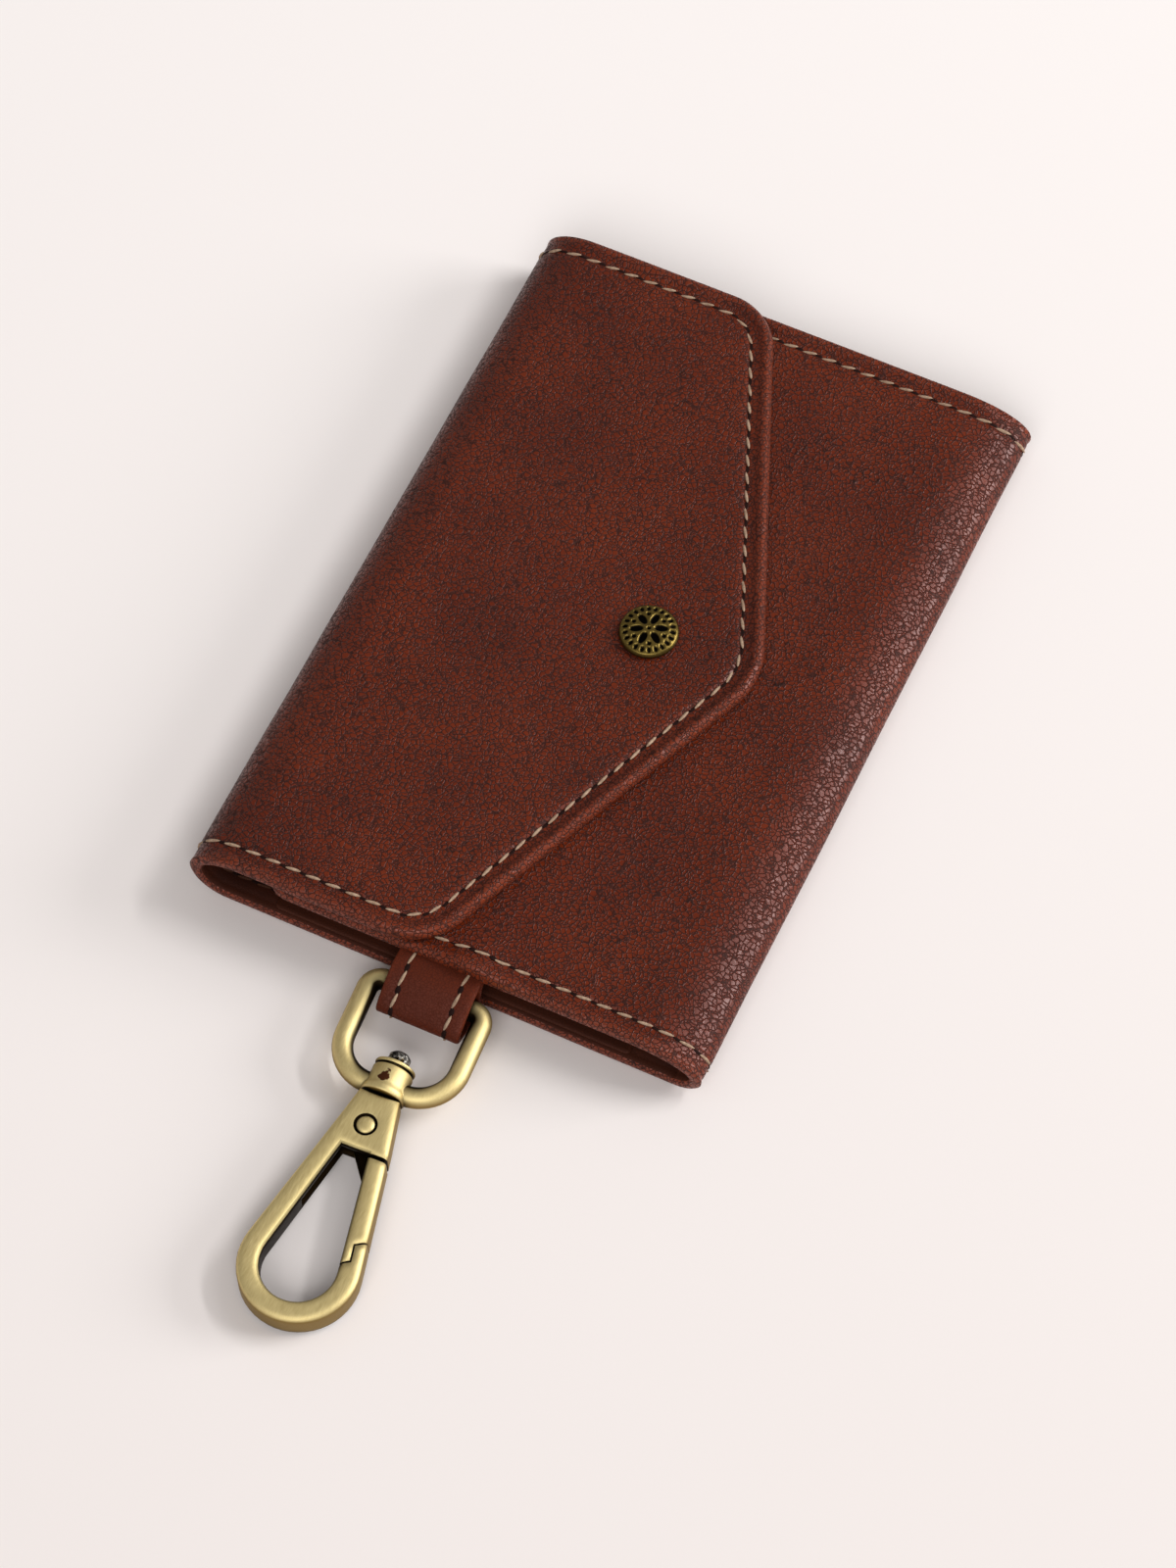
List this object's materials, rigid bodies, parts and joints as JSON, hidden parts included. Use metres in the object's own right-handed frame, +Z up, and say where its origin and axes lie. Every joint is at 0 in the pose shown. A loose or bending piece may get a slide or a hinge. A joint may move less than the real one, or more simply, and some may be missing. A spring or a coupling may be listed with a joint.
{
  "type": "phone purse",
  "caption": "Flat leather phone purse with a pointed snap flap, stitched turned edges and pleated ends, held on a leather tab by a swivel ring and a sprung trigger hook.",
  "frame": {"origin": "middle of the flat back face, on the table the purse lies on", "axes": "+Z up out of the back face towards the flap, +Y along the purse away from the clip, +X from the flap fold to the closed bottom fold"},
  "size_m": [0.115, 0.2537, 0.0183],
  "materials": {
    "outer_leather": "pebbled, semi-gloss",
    "lining_leather": "smooth, matte",
    "fibre_board": "bonded leather fibre, matte",
    "antique_brass": "brushed, with dark patina in the recesses",
    "dark_steel": "blackened"
  },
  "bodies": {
    "purse": {"back_panel": "outer_leather", "back_board": "fibre_board", "back_lining": "lining_leather", "bottom_fold": "outer_leather", "flap_fold": "outer_leather", "near_gusset": "lining_leather", "far_gusset": "lining_leather"},
    "front": {"front_panel": "outer_leather", "front_board": "fibre_board", "front_lining": "lining_leather", "snap_stud": "antique_brass", "snap_post": "antique_brass", "clip_tab": "outer_leather"},
    "flap": {"flap_panel": "outer_leather", "flap_board": "fibre_board", "flap_lining": "lining_leather", "snap_cap": "antique_brass", "snap_socket": "antique_brass"},
    "ring": {"swivel_ring": "antique_brass"},
    "hook": {"hook_body": "antique_brass", "swivel_pin": "dark_steel", "swivel_washer": "antique_brass", "gate_rivet": "antique_brass", "gate_spring": "dark_steel"},
    "gate": {"gate": "antique_brass"}
  },
  "joints": [
    {"name": "flap_open", "type": "hinge", "parent": "purse", "child": "flap", "pos_m": [-0.056, 0, 0.00925], "axis": [0, -1, 0], "range_deg": [0, 180], "deforming": ["flap_fold"]},
    {"name": "front_open", "type": "hinge", "parent": "purse", "child": "front", "pos_m": [0.04135, 0, 0.0126], "axis": [0, 1, 0], "range_deg": [0, 8.8], "deforming": ["near_gusset", "far_gusset"]},
    {"name": "ring_swing", "type": "hinge", "parent": "front", "child": "ring", "pos_m": [-0.0004, -0.091, 0.0059], "axis": [-0.9986, -0.0523, 0], "range_deg": [-95, 95]},
    {"name": "hook_swivel", "type": "hinge", "parent": "ring", "child": "hook", "pos_m": [0.00091, -0.11595, 0.00504], "axis": [0.0523, -0.998, -0.0344], "continuous": true},
    {"name": "gate_open", "type": "hinge", "parent": "hook", "child": "gate", "pos_m": [0.00128, -0.12314, 0.00479], "axis": [-0.0018, 0.0343, -0.9994], "range_deg": [0, 25], "stiffness_Nm_per_rad": 0.03, "springref_deg": -17.19, "deforming": ["gate_spring"]}
  ],
  "couplings": [
    {"joint": "front_open", "follows": "flap_open", "ratio": 0.04888}
  ]
}
